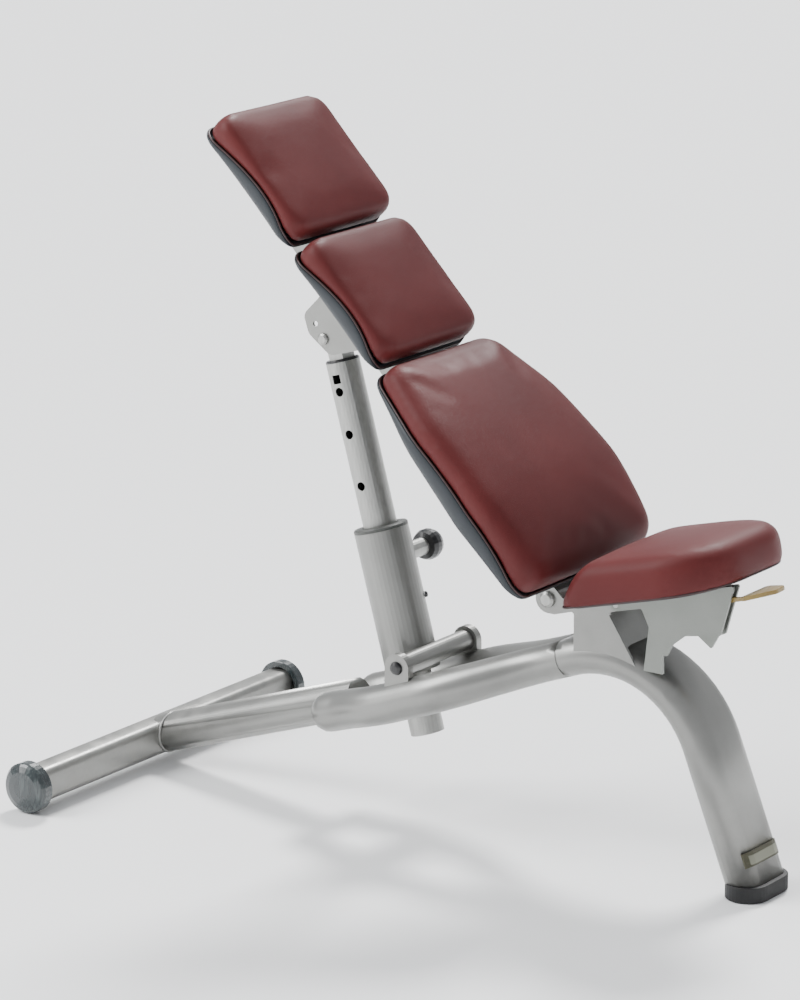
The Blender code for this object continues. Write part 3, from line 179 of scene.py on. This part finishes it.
def satin_paint(name, light, dark, roughness=0.36, metallic=0.75):
    """Sprayed metallic paint: fine flake, faint orange peel, rubbed patches and dust near the floor."""
    finish = Finish(name, roughness, metallic, coat=0.12, coat_roughness=0.25)
    flake = finish.noise(2600.0, 1.0)
    cloud = finish.noise(9.0, 4.0, 0.6)
    rub = finish.noise(38.0, 5.0, 0.65)
    base = finish.mix(cloud.above(0.5, 0.7), dark, light)
    base = finish.mix(flake * 0.16, base, (0.72, 0.72, 0.70))
    height = finish.along("Z")
    dust = (1.0 - height.above(0.09, 0.18)) * rub.above(0.52, 0.3) * 0.30
    base = finish.mix(dust, base, (0.40, 0.39, 0.36))
    finish.colour(base)
    scratches = finish.noise(60.0, 6.0, 0.7, finish.stretched((1.0, 14.0, 3.0), (0.3, 0.2, 0.5)))
    finish.drive("Roughness", roughness - 0.05 + rub * 0.10 + scratches.above(0.66, 0.06) * 0.08 + dust * 0.5)
    peel = finish.noise(420.0, 2.0)
    finish.bump(peel + flake * 0.25, 0.00012, 0.35)
    return finish.material


def satin_steel(name, turn, axis=(0.0, 0.0, 0.0), bore=None):
    """Plated tube: fine lines along its length, a few rub marks where it slides; with a bore given,
    near-black painted shade inside the bore.
    """
    finish = Finish(name, 0.32, 0.85)
    lines = finish.noise(300.0, 4.0, 0.6, finish.stretched((1.0, 1.0, 0.012), turn))
    cloud = finish.noise(14.0, 4.0, 0.6)
    rub = finish.noise(70.0, 5.0, 0.7, finish.stretched((1.0, 1.0, 0.06), turn))
    base = finish.mix(lines.above(0.5, 0.6), (0.33, 0.33, 0.315), (0.42, 0.42, 0.405))
    base = finish.mix(rub.above(0.62, 0.12) * 0.4, base, (0.50, 0.50, 0.48))
    base = finish.mix(cloud.above(0.6, 0.3) * 0.25, base, (0.36, 0.36, 0.34))
    # Painted shade: inside the bore radius round the post's axis the colour goes near black.
    if bore:
        placed = finish.stretched((1, 1, 1), turn, axis)
        across = finish.make("ShaderNodeVectorMath", {"operation": "MULTIPLY"}, {0: placed, 1: (1, 1, 0)})[0]
        away = finish.make("ShaderNodeVectorMath", {"operation": "LENGTH"}, {0: across})[1]
        base = finish.mix(away.above(bore, 0.0006), (0.006, 0.006, 0.006), base)
    finish.colour(base)
    finish.drive("Roughness", 0.26 + lines * 0.12 + cloud * 0.08)
    finish.bump(lines + rub * 0.4, 0.00006, 0.5)
    return finish.material


def moulded(name, colour, lighter, roughness=0.5, grain=900.0, depth=0.00012, coat=0.0):
    """Moulded plastic or rubber: spark-eroded grain and a little dust in it."""
    finish = Finish(name, roughness, 0.0, coat=coat, coat_roughness=0.12)
    texture = finish.cells(grain)
    cloud = finish.noise(24.0, 4.0, 0.6)
    scuffs = finish.noise(90.0, 6.0, 0.72)
    base = finish.mix(cloud.above(0.5, 0.6), colour, lighter)
    base = finish.mix(scuffs.above(0.64, 0.1) * 0.25, base, tuple(2.0 * part + 0.005 for part in lighter))
    finish.colour(base)
    finish.drive("Roughness", roughness - 0.04 + cloud * 0.08 + scuffs.above(0.64, 0.1) * 0.08)
    finish.bump(texture + scuffs * 0.3, depth, 0.5)
    return finish.material


def grained_cover(name, colour, lighter, darker, turn):
    """Synthetic leather: pebbled grain, soft long creases, rubbed lighter where it is sat on."""
    finish = Finish(name, 0.46, 0.0, specular=0.20)
    pebble = finish.cells(760.0, "SMOOTH_F1")
    veins = finish.cells(300.0, "DISTANCE_TO_EDGE")
    pores = finish.noise(1900.0, 2.0)
    cloud = finish.noise(7.0, 4.0, 0.55)
    worn = finish.noise(3.2, 3.0, 0.5)
    creases = finish.noise(26.0, 4.0, 0.55, finish.stretched((1.0, 0.35, 1.0), turn), 0.6)
    base = finish.mix(cloud.above(0.5, 0.8), darker, colour)
    base = finish.mix(worn.above(0.56, 0.35) * 0.45, base, lighter)
    base = finish.mix((1.0 - veins.above(0.035, 0.06)) * 0.22, base, darker)
    base = finish.mix(pebble * 0.18, base, lighter)
    finish.colour(base)
    finish.drive("Roughness", 0.42 + cloud * 0.08 + pebble * 0.10 - worn.above(0.56, 0.35) * 0.05)
    finish.bump(pebble * 0.6 + veins.above(0.03, 0.06) * 0.5 + pores * 0.2 + creases * 3.0, 0.00035, 0.42)
    return finish.material


def cap_with_painted_reflections(name):
    """Glossy moulded cap; its faint swirled pale streaks are painted reflections in its colour."""
    finish = Finish(name, 0.2, 0.0, coat=0.5, coat_roughness=0.06)
    reflection_swirl = finish.noise(30.0, 3.0, 0.5, finish.stretched((1.0, 1.0, 0.18)), 1.4)
    lines = finish.noise(150.0, 2.0, 0.5, finish.stretched((1.0, 1.0, 0.10)), 2.2)
    deep, middle, pale = (0.007, 0.010, 0.012), (0.024, 0.033, 0.035), (0.075, 0.092, 0.092)
    # Painted reflections: the upright stretched noises become pale wavy streaks in the colour; the lines also
    # vary roughness and bump.
    base = finish.ramp(reflection_swirl * 0.55 + lines * 0.45, (0.30, deep), (0.52, middle), (0.68, pale))
    finish.colour(base)
    finish.drive("Roughness", 0.14 + lines * 0.16)
    finish.bump(lines, 0.0003, 0.3)
    return finish.material


def blank_badge(name):
    """A pewter frame round a paler blank panel."""
    finish = Finish(name, 0.4, 0.6)
    low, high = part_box("leg_badge")
    middle = (low + high) / 2
    across = finish.along("Y").size()
    up = (finish.along("Z") - middle.z).size()
    half_height = (high.z - low.z) / 2
    panel = (1.0 - across.above(0.038, 0.002)) * (1.0 - up.above(half_height * 0.52, 0.002))
    brushed = finish.noise(400.0, 4.0, 0.6, finish.stretched((1.0, 0.02, 1.0)))
    base = finish.mix(panel, (0.060, 0.057, 0.036), (0.26, 0.265, 0.21))
    base = finish.mix(brushed * 0.25, base, (0.30, 0.29, 0.22))
    finish.colour(base)
    finish.drive("Roughness", 0.34 + brushed * 0.15)
    finish.bump(panel * 2.0 + brushed * 0.2, 0.0004, 0.5)
    return finish.material


FINISHES = {
    "silver_paint": satin_paint("silver_paint", (0.25, 0.25, 0.238), (0.19, 0.19, 0.180)),
    "bracket_paint": satin_paint("bracket_paint", (0.20, 0.212, 0.193), (0.16, 0.172, 0.155), 0.42, 0.6),
    "bright_steel": satin_steel("bright_steel", (0.0, POST_TILT, 0.0)),
    "black_plastic": moulded("black_plastic", (0.006, 0.006, 0.007), (0.013, 0.013, 0.014), 0.30, coat=0.3),
    "cap_plastic": cap_with_painted_reflections("cap_plastic"),
    "black_rubber": moulded("black_rubber", (0.0035, 0.0035, 0.004), (0.008, 0.008, 0.009), 0.62, 500.0,
                            0.0002),
    "maroon_cover": grained_cover("maroon_cover", (0.100, 0.0150, 0.0150), (0.130, 0.026, 0.025),
                                  (0.070, 0.0095, 0.0100),
                                  (0.0, -BACKREST_ANGLE, 0.0)),
    "navy_shell": moulded("navy_shell", (0.0095, 0.0135, 0.018), (0.016, 0.021, 0.027), 0.50, 620.0, 0.00022),
    "badge_pewter": blank_badge("badge_pewter"),
    "ochre_plastic": moulded("ochre_plastic", (0.22, 0.145, 0.040), (0.30, 0.21, 0.065), 0.36, 1400.0,
                             0.00005, 0.2),
}
welt_cover = moulded("welt_cover", (0.022, 0.006, 0.006), (0.034, 0.010, 0.010), 0.45, 1400.0, 0.0001)
weld_metal = satin_paint("weld_metal", (0.34, 0.34, 0.325), (0.29, 0.29, 0.28), 0.45, 0.6)

slots = {entry["node"]: entry["material_slot"] for entry in frame["record"]["subparts"]}
post_turn = (0.0, -POST_TILT, 0.0)
for name, node in nodes.items():
    node.data.materials.clear()
    node.data.materials.append(FINISHES[slots[name]])
pivot = Vector(joints["post_swing"]["pos_m"])
post_line = pivot + Matrix.Rotation(POST_TILT, 3, "Y") @ Vector((-0.0445, 0.0, 0.0))
# The post's inner tube gets near-black painted shade inside its bore.
nodes["inner_tube"].data.materials[0] = satin_steel("post_steel", post_turn, tuple(post_line), 0.0240)
bush = moulded("bush_plastic", (0.050, 0.052, 0.048), (0.075, 0.078, 0.072), 0.45)
nodes["sleeve_top_bush"].data.materials[0] = bush


# ---------------------------------------------------------------- helpers
def choose(*objects):
    """Select only these objects; the first is the active one."""
    for obj in bpy.context.selected_objects:
        obj.select_set(False)
    for obj in objects:
        obj.select_set(True)
    bpy.context.view_layer.objects.active = objects[0]


def own(obj, name, material, body):
    """Name a finished piece and give it its material and body."""
    obj.name = name
    obj.data.name = name
    obj.data.materials.clear()
    obj.data.materials.append(material)
    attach(obj, body)
    return obj


def apply_all(obj):
    """Apply an object's modifiers."""
    choose(obj)
    for modifier in list(obj.modifiers):
        bpy.ops.object.modifier_apply(modifier=modifier.name)
    return obj


def subdivided(obj, levels=1):
    """Smooth a piece with an applied Subdivision Surface."""
    smooth = obj.modifiers.new("smooth", "SUBSURF")
    smooth.levels = levels
    smooth.render_levels = levels
    return apply_all(obj)


def smooth_step(value, low, high):
    share = min(1.0, max(0.0, (value - low) / (high - low)))
    return share * share * (3 - 2 * share)


def rounded(corners, spacing=0.006):
    """Evenly spaced points of an outline whose corners are (x, y, radius)."""
    path = []
    count = len(corners)
    for index, (x, y, radius) in enumerate(corners):
        here = Vector((x, y))
        before = (Vector(corners[index - 1][:2]) - here).normalized()
        after = (Vector(corners[(index + 1) % count][:2]) - here).normalized()
        half_angle = before.angle(after) / 2
        reach = radius / math.tan(half_angle)
        centre = here + (before + after).normalized() * (radius / math.sin(half_angle))
        start = here + before * reach - centre
        sweep = start.angle_signed(here + after * reach - centre)
        for step in range(25):
            path.append(centre + Matrix.Rotation(-sweep * step / 24, 2) @ start)
    lengths = [0.0]
    for first, second in zip(path, path[1:] + path[:1]):
        lengths.append(lengths[-1] + (second - first).length)
    total = lengths[-1]
    amount = 4 * round(total / spacing / 4)
    points = []
    index = 0
    for step in range(amount):
        target = total * step / amount
        while lengths[index + 1] < target:
            index += 1
        span = lengths[index + 1] - lengths[index]
        share = (target - lengths[index]) / span if span > 0.0 else 0.0
        points.append(path[index].lerp(path[(index + 1) % len(path)], share))
    return points


def outward_normals(points):
    """The outward direction at each point of a closed outline."""
    count = len(points)
    normals = []
    for index in range(count):
        along = points[(index + 1) % count] - points[index - 1]
        normals.append(Vector((along.y, -along.x)).normalized())
    nexts = points[1:] + points[:1]
    area = sum(here.x * there.y - there.x * here.y for here, there in zip(points, nexts))
    return normals if area > 0 else [-normal for normal in normals]


def lofted(name, outline, rows, top, bottom, place, rings=7):
    """A closed form: side rows of (inset, height) from the bottom edge up, and a cap at each end."""
    normals = outward_normals(outline)
    count = len(outline)
    centre = Vector((sum(p.x for p in outline) / count, 0.0))
    shape = bmesh.new()
    loops = []

    def add_loop(points):
        loops.append([shape.verts.new(point) for point in points])

    def cap_loops(base, height):
        found = []
        for ring in range(1, rings):
            share = 1.0 - ring / rings
            ring_points = []
            for point in base:
                flat = centre + (Vector(point[:2]) - centre) * share
                ring_points.append((flat.x, flat.y, height(flat.x, flat.y, share)))
            found.append(ring_points)
        return found

    sides = []
    for inset, height in rows:
        flat = [point - normal * inset for point, normal in zip(outline, normals)]
        sides.append([(p.x, p.y, height(p.x, p.y)) for p in flat])
    lower = cap_loops(sides[0], bottom)
    for points in reversed(lower):
        add_loop(points)
    for points in sides:
        add_loop(points)
    for points in cap_loops(sides[-1], top):
        add_loop(points)
    for first, second in zip(loops, loops[1:]):
        for index in range(count):
            after = (index + 1) % count
            shape.faces.new((first[index], first[after], second[after], second[index]))
    low_middle = shape.verts.new((centre.x, 0.0, bottom(centre.x, 0.0, 0.0)))
    high_middle = shape.verts.new((centre.x, 0.0, top(centre.x, 0.0, 0.0)))
    for index in range(count):
        after = (index + 1) % count
        shape.faces.new((loops[0][after], loops[0][index], low_middle))
        shape.faces.new((loops[-1][index], loops[-1][after], high_middle))
    bmesh.ops.recalc_face_normals(shape, faces=shape.faces)
    mesh = bpy.data.meshes.new(name)
    shape.to_mesh(mesh)
    shape.free()
    mesh.transform(place)
    obj = bpy.data.objects.new(name, mesh)
    bpy.context.scene.collection.objects.link(obj)
    return obj


def puff(obj, place, cap, pressure=4.0, voxel=0.005):
    """Remesh a form and let its cover swell as cloth over its foam; its flat underside stays put."""
    remesh = obj.modifiers.new("remesh", "REMESH")
    remesh.mode = "VOXEL"
    remesh.voxel_size = voxel
    apply_all(obj)
    relax = obj.modifiers.new("relax", "SMOOTH")
    relax.factor = 0.5
    relax.iterations = 4
    apply_all(obj)
    into = place.inverted().to_3x3()
    underside = obj.vertex_groups.new(name="underside")
    held = [v.index for v in obj.data.vertices if (into @ v.normal).z < -0.75]
    underside.add(held, 1.0, "REPLACE")
    before = [vertex.co.copy() for vertex in obj.data.vertices]
    cloth = obj.modifiers.new("cover", "CLOTH")
    cloth.settings.use_pressure = True
    cloth.settings.uniform_pressure_force = pressure
    cloth.settings.effector_weights.gravity = 0.0
    cloth.settings.vertex_group_mass = "underside"
    cloth.settings.tension_stiffness = 60.0
    cloth.settings.compression_stiffness = 60.0
    cloth.settings.bending_stiffness = 40.0
    cloth.settings.quality = 5
    cloth.point_cache.frame_start = 1
    cloth.point_cache.frame_end = 20
    scene = bpy.context.scene
    for step in range(1, 21):
        scene.frame_set(step)
    apply_all(obj)
    scene.frame_set(1)
    for vertex, start in zip(obj.data.vertices, before):
        moved = vertex.co - start
        if moved.length > cap:
            vertex.co = start + moved.normalized() * cap
    obj.vertex_groups.clear()
    settle = obj.modifiers.new("settle", "SMOOTH")
    settle.factor = 0.5
    settle.iterations = 14
    apply_all(obj)
    subdivided(obj)
    obj.data.shade_smooth()
    return obj


def tube_along(name, points, radius, closed=True, sides=3):
    """A thin round tube through points, as a mesh."""
    curve = bpy.data.curves.new(name, "CURVE")
    curve.dimensions = "3D"
    curve.bevel_depth = radius
    curve.bevel_resolution = sides
    curve.use_fill_caps = True
    spline = curve.splines.new("POLY")
    spline.points.add(len(points) - 1)
    for point, place in zip(spline.points, points):
        point.co = (*place, 1.0)
    spline.use_cyclic_u = closed
    obj = bpy.data.objects.new(name, curve)
    bpy.context.scene.collection.objects.link(obj)
    choose(obj)
    bpy.ops.object.convert(target="MESH")
    obj = bpy.context.view_layer.objects.active
    shape = bmesh.new()
    shape.from_mesh(obj.data)
    bmesh.ops.remove_doubles(shape, verts=shape.verts, dist=0.00001)
    bmesh.ops.recalc_face_normals(shape, faces=shape.faces)
    shape.to_mesh(obj.data)
    shape.free()
    obj.data.shade_smooth()
    return obj


# ---------------------------------------------------------------- pads and their backs
def upholstered(word, outline, body, place, seam, front, back, edge, crown, cap, shift=None, tuck=-0.0006):
    """A pad over its moulded back: the back's rim, the welt and the cover share one seam line."""
    shift = shift or (lambda x, y, z: 0.0)

    def cover_top(x, y, share):
        return front(x) + crown * (1 - share * share)

    side_rows = [(0.008, lambda x, y: seam(x) - 0.004), (0.0010, lambda x, y: seam(x) - 0.001)]
    side_rows += [(-0.0015, lambda x, y: seam(x) + (front(x) - seam(x)) * 0.28)]
    side_rows += [(-0.0015, lambda x, y: seam(x) + (front(x) - seam(x)) * 0.60)]
    side_rows += [(edge * 0.08, lambda x, y: front(x) - edge * 0.42)]
    side_rows += [(edge * 0.45, lambda x, y: front(x) - edge * 0.12)]
    side_rows += [(edge, lambda x, y: front(x) - 0.0008)]
    underside = lambda x, y, share: seam(x) - 0.005
    pad = lofted(f"{word}_cushion", outline, side_rows, cover_top, underside, Matrix.Identity(4))
    for vertex in pad.data.vertices:
        vertex.co.x += shift(*vertex.co)
    pad.data.transform(place)
    puff(pad, place, cap)
    own(pad, f"{word}_cushion", FINISHES["maroon_cover"], body)
    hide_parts(f"{word}_pad")

    normals = outward_normals(outline)
    line = []
    for point, normal in zip(outline, normals):
        edge_point = point - normal * tuck
        x, y = edge_point
        z = seam(x) - 0.0005
        line.append(place @ Vector((x + shift(x, y, z), y, z)))
    welt = tube_along(f"{word}_welt", line, 0.0017)
    own(welt, f"{word}_welt", welt_cover, body)

    if back is None:
        return
    def part_way(share):
        return lambda x, y: back + (seam(x) - back) * share

    rows = [(0.020, lambda x, y: back), (0.0095, lambda x, y: back + 0.0014)]
    rows += [(0.0020, part_way(0.24)), (-0.0035, part_way(0.52)), (-0.0030, part_way(0.82))]
    rows += [(-0.0012, lambda x, y: seam(x) - 0.0020), (0.0020, lambda x, y: seam(x) - 0.0026)]
    rows += [(0.0065, lambda x, y: seam(x) - 0.0080)]
    inside = lambda x, y, share: seam(x) - 0.0085
    shell = lofted(f"{word}_back", outline, rows, inside, lambda x, y, share: back, place)
    subdivided(shell)
    shell.data.shade_smooth()
    own(shell, f"{word}_back", FINISHES["navy_shell"], body)
    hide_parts(f"{word}_shell")


def seam_arc(start, end, low, high, lean=0.72):
    """A seam that rises towards the front between the pad's ends, highest in its lower half."""
    def height(x):
        share = min(1.0, max(0.0, (-x - start) / (end - start)))
        return low + (high - low) * math.sin(math.pi * share ** lean)

    return height


def corner_box(start, end, width, radius):
    half = width / 2
    corners = [(-start, half, radius), (-end, half, radius)]
    return rounded(corners + [(-end, -half, radius), (-start, -half, radius)])


BACK_LEVEL = 0.0226
HEAD_START, HEAD_END = 0.6450, 0.8640
MID_START, MID_END = 0.4165, 0.6300
LOWER_START, LUMBAR, LOWER_END = 0.008, 0.145, 0.402
LUMBAR_FRONT = 0.106
PAD_FRONT = 0.077


def lumbar_front(x):
    """The lower pad's face: fullest at the lumbar swell, falling away to both ends."""
    if -x > LUMBAR:
        return LUMBAR_FRONT - (LUMBAR_FRONT - PAD_FRONT) * ((-x - LUMBAR) / (LOWER_END - LUMBAR)) ** 1.6
    return LUMBAR_FRONT - 0.018 * ((LUMBAR + x) / LUMBAR) ** 2


upholstered("head", corner_box(HEAD_START, HEAD_END, 0.254, 0.030), "backrest", back_place,
            seam_arc(HEAD_START, HEAD_END, 0.030, 0.056), lambda x: PAD_FRONT, BACK_LEVEL,
            0.018, 0.004, 0.003)
upholstered("mid", corner_box(MID_START, MID_END, 0.254, 0.030), "backrest", back_place,
            seam_arc(MID_START, MID_END, 0.030, 0.058), lambda x: PAD_FRONT, BACK_LEVEL,
            0.018, 0.004, 0.003)
lower_corners = [(-LOWER_END, 0.131, 0.034), (-0.285, 0.171, 0.200)]
lower_corners += [(-LUMBAR, 0.182, 0.160), (-LOWER_START, 0.167, 0.036)]
lower_corners += [(x, -y, radius) for x, y, radius in reversed(lower_corners)]
upholstered("lower", rounded(lower_corners), "backrest", back_place,
            seam_arc(LOWER_START, LOWER_END, 0.032, 0.062), lumbar_front, BACK_LEVEL, 0.032, 0.005, 0.003)

SEAT_REAR, SEAT_FRONT, SEAT_HALF = -0.062, 0.213, 0.136
SEAT_LOW, SEAT_HIGH = 0.0150, 0.0815
REAR_LEAN, LEAN_REACH = 0.056, 0.110
seat_corners = [(SEAT_REAR, SEAT_HALF, 0.030), (SEAT_REAR, -SEAT_HALF, 0.030)]
seat_corners += [(SEAT_FRONT, -SEAT_HALF, 0.095), (SEAT_FRONT, SEAT_HALF, 0.095)]


def seat_shift(x, y, z):
    """How far a point of the seat leans forward above its rear edge."""
    share = min(1.0, max(0.0, (z - SEAT_LOW) / (SEAT_HIGH - SEAT_LOW)))
    return REAR_LEAN * share * (1 - smooth_step(x, SEAT_REAR, SEAT_REAR + LEAN_REACH))


upholstered("seat", rounded(seat_corners), "seat", seat_place, lambda x: SEAT_LOW,
            lambda x: SEAT_HIGH - 0.003, None, 0.034, 0.007, 0.003, seat_shift, 0.0052)


def seat_base():
    """The seat's board, set back under the cover's turned-in edge."""
    corners = [(SEAT_REAR + 0.012, 0.122, 0.03), (SEAT_REAR + 0.012, -0.122, 0.03)]
    corners += [(SEAT_FRONT - 0.018, -0.122, 0.075), (SEAT_FRONT - 0.018, 0.122, 0.075)]
    rows = [(0.0022, lambda x, y: 0.0099), (0.0006, lambda x, y: 0.0103), (0.0, lambda x, y: 0.0112)]
    rows += [(0.0, lambda x, y: 0.0135), (0.0030, lambda x, y: 0.0142)]
    top = lambda x, y, share: 0.0142
    board = lofted("seat_base", rounded(corners), rows, top, lambda x, y, share: 0.0099, seat_place)
    own(board, "seat_base", FINISHES["navy_shell"], "seat")
    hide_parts("seat_board")


seat_base()


# ---------------------------------------------------------------- smooth copies of the frame's tubes
def smooth_copy(name, limit=math.radians(40)):
    """A node's shape with its tube walls shaded round, in place of the node."""
    copy = bpy.data.objects.new(f"{name}_formed", nodes[name].data.copy())
    bpy.context.scene.collection.objects.link(copy)
    choose(copy)
    bpy.ops.object.mode_set(mode="EDIT")
    bpy.ops.mesh.select_all(action="SELECT")
    bpy.ops.mesh.remove_doubles(threshold=0.00002)
    bpy.ops.mesh.tris_convert_to_quads(face_threshold=math.radians(30), shape_threshold=math.radians(60))
    bpy.ops.object.mode_set(mode="OBJECT")
    bpy.ops.object.shade_smooth_by_angle(angle=limit)
    own(copy, f"{name}_formed", FINISHES[slots[name]], frame_bodies[name])
    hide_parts(name)
    return copy


frame_bodies = {}
for body, names in frame["record"]["behaviour"]["bodies"].items():
    for name in names:
        frame_bodies[name] = body
for name in ("front_leg", "rail_near", "rail_far", "rear_spine", "rear_crossbar"):
    smooth_copy(name)


# ---------------------------------------------------------------- welds and small fittings
def weld_bead(name, points, radius, body, closed=True):
    """A laid weld: a run of small overlapping ripples along a seam."""
    bead = tube_along(name, points, radius, closed, sides=2)
    ripple = bmesh.new()
    ripple.from_mesh(bead.data)
    for vertex in ripple.verts:
        phase = (vertex.co.x * 1.3 + vertex.co.y * 1.7 + vertex.co.z * 1.1) * 1500.0
        vertex.co += vertex.normal * (0.00018 * math.sin(phase))
    ripple.to_mesh(bead.data)
    ripple.free()
    return own(bead, name, weld_metal, body)


def ring_points(centre, axis, radius, steps=72, stretch=(1.0, 1.0)):
    """Points round an axis."""
    turn = Vector(axis).normalized().to_track_quat("Z", "Y").to_matrix()
    points = []
    for step in range(steps):
        angle = math.tau * step / steps
        across, up = radius * stretch[0] * math.cos(angle), radius * stretch[1] * math.sin(angle)
        points.append(Vector(centre) + turn @ Vector((across, up, 0.0)))
    return points


def edge_points(low, high, steps=40):
    return [Vector(low).lerp(Vector(high), step / steps) for step in range(steps + 1)]


def weld_frame():
    """Welds of the frame and the post, where tubes and plates meet."""
    bar_low, bar_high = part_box("rear_crossbar")
    bar_middle = (bar_low + bar_high) / 2
    spine_rise = math.radians(18.5)
    along_spine = Vector((math.cos(spine_rise), 0.0, math.sin(spine_rise)))
    joint_centre = bar_middle + along_spine * ((bar_high.x - bar_middle.x) / math.cos(spine_rise) + 0.001)
    points = ring_points(joint_centre, (1.0, 0.0, 0.0), 0.0312, stretch=(1.0 / math.cos(spine_rise), 1.0))
    weld_bead("spine_weld", points, 0.0022, "frame")

    for word, sign in (("near", -1), ("far", 1)):
        lug_low, lug_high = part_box(f"pivot_lug_{word}")
        face = sign * (abs((lug_low.y + lug_high.y) / 2))
        foot = lug_low.z + 0.010
        for part, side in (("rear", lug_low.x), ("front", lug_high.x)):
            line = [Vector((side, face + sign * offset * 0.001, foot)) for offset in range(-6, 7)]
            weld_bead(f"lug_{word}_{part}_weld", line, 0.0018, "frame", closed=False)
    for word in ("head", "mid", "lower"):
        low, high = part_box(f"{word}_pad_bracket")
        tube_side = 0.030
        for part, sign in (("near", -1), ("far", 1)):
            centre = (low + high) / 2
            along = (back_place.to_3x3() @ Vector((1.0, 0.0, 0.0))).normalized()
            down = (back_place.to_3x3() @ Vector((0.0, 0.0, -1.0))).normalized()
            start = centre + down * 0.0050 + Vector((0.0, sign * (tube_side + 0.0006), 0.0))
            line = edge_points(start - along * 0.014, start + along * 0.014, 20)
            weld_bead(f"{word}_bracket_{part}_weld", line, 0.0016, "backrest", closed=False)


weld_frame()


def pull_pin_spring():
    """The pull pin's spring as a smooth copy with a mesh of its own; it is not made to shorten as the pin
    comes out.
    """
    spring = smooth_copy("plunger_spring", math.radians(80))
    low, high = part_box("plunger_spring")
    travel = joints["plunger_pull"]["range_m"][1]
    keep = 1.0 - travel / (high.y - low.y)
    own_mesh(spring)


pull_pin_spring()


# ---------------------------------------------------------------- stage, lights and camera
def stage_floor():
    bpy.ops.mesh.primitive_plane_add(size=90.0, location=(0.0, 0.0, -0.0006))
    floor = bpy.context.active_object
    floor.name = "studio_floor"
    finish = Finish("studio_floor", 0.8)
    cloud = finish.noise(0.7, 2.0)
    finish.colour(finish.mix(cloud, (0.92, 0.925, 0.93), (0.95, 0.95, 0.95)))
    floor.data.materials.append(finish.material)


def light_from(name, kind, direction, distance, power, **settings):
    """A light that shines on the bench from a direction."""
    data = bpy.data.lights.new(name, kind)
    data.energy = power
    for key, value in settings.items():
        setattr(data, key, value)
    light = bpy.data.objects.new(name, data)
    bpy.context.scene.collection.objects.link(light)
    away = Vector(direction).normalized()
    light.location = Vector((0.0, 0.0, 0.4)) + away * distance
    light.rotation_euler = away.to_track_quat("Z", "Y").to_euler()


stage_floor()
light_from("window_light", "SUN", (-0.30, 0.80, 1.00), 6.0, 4.2, angle=math.radians(14))
light_from("room_light", "SUN", (-0.75, -0.50, 0.85), 6.0, 2.8, angle=math.radians(35),
           color=(0.98, 0.99, 1.0))
light_from("strip_light", "AREA", (-0.9, -0.9, 0.55), 2.6, 20.0, shape="RECTANGLE", size=0.5, size_y=2.4)

world = bpy.data.worlds.new("studio")
world.use_nodes = True
world.node_tree.nodes["Background"].inputs["Color"].default_value = (0.95, 0.97, 1.0, 1.0)
world.node_tree.nodes["Background"].inputs["Strength"].default_value = 0.70
bpy.context.scene.world = world

AZIMUTH, ELEVATION = math.radians(35.05), math.radians(14.89)
level = math.cos(ELEVATION)
away = Vector((math.sin(AZIMUTH) * level, -math.cos(AZIMUTH) * level, math.sin(ELEVATION)))
camera = bpy.data.objects.new("camera", bpy.data.cameras.new("camera"))
bpy.context.scene.collection.objects.link(camera)
camera.data.sensor_width = 36.0
camera.data.lens = 165.24
camera.location = Vector((-0.0839, 0.0, 0.495)) + away * 6.924
camera.rotation_euler = away.to_track_quat("Z", "Y").to_euler()
bpy.context.scene.camera = camera
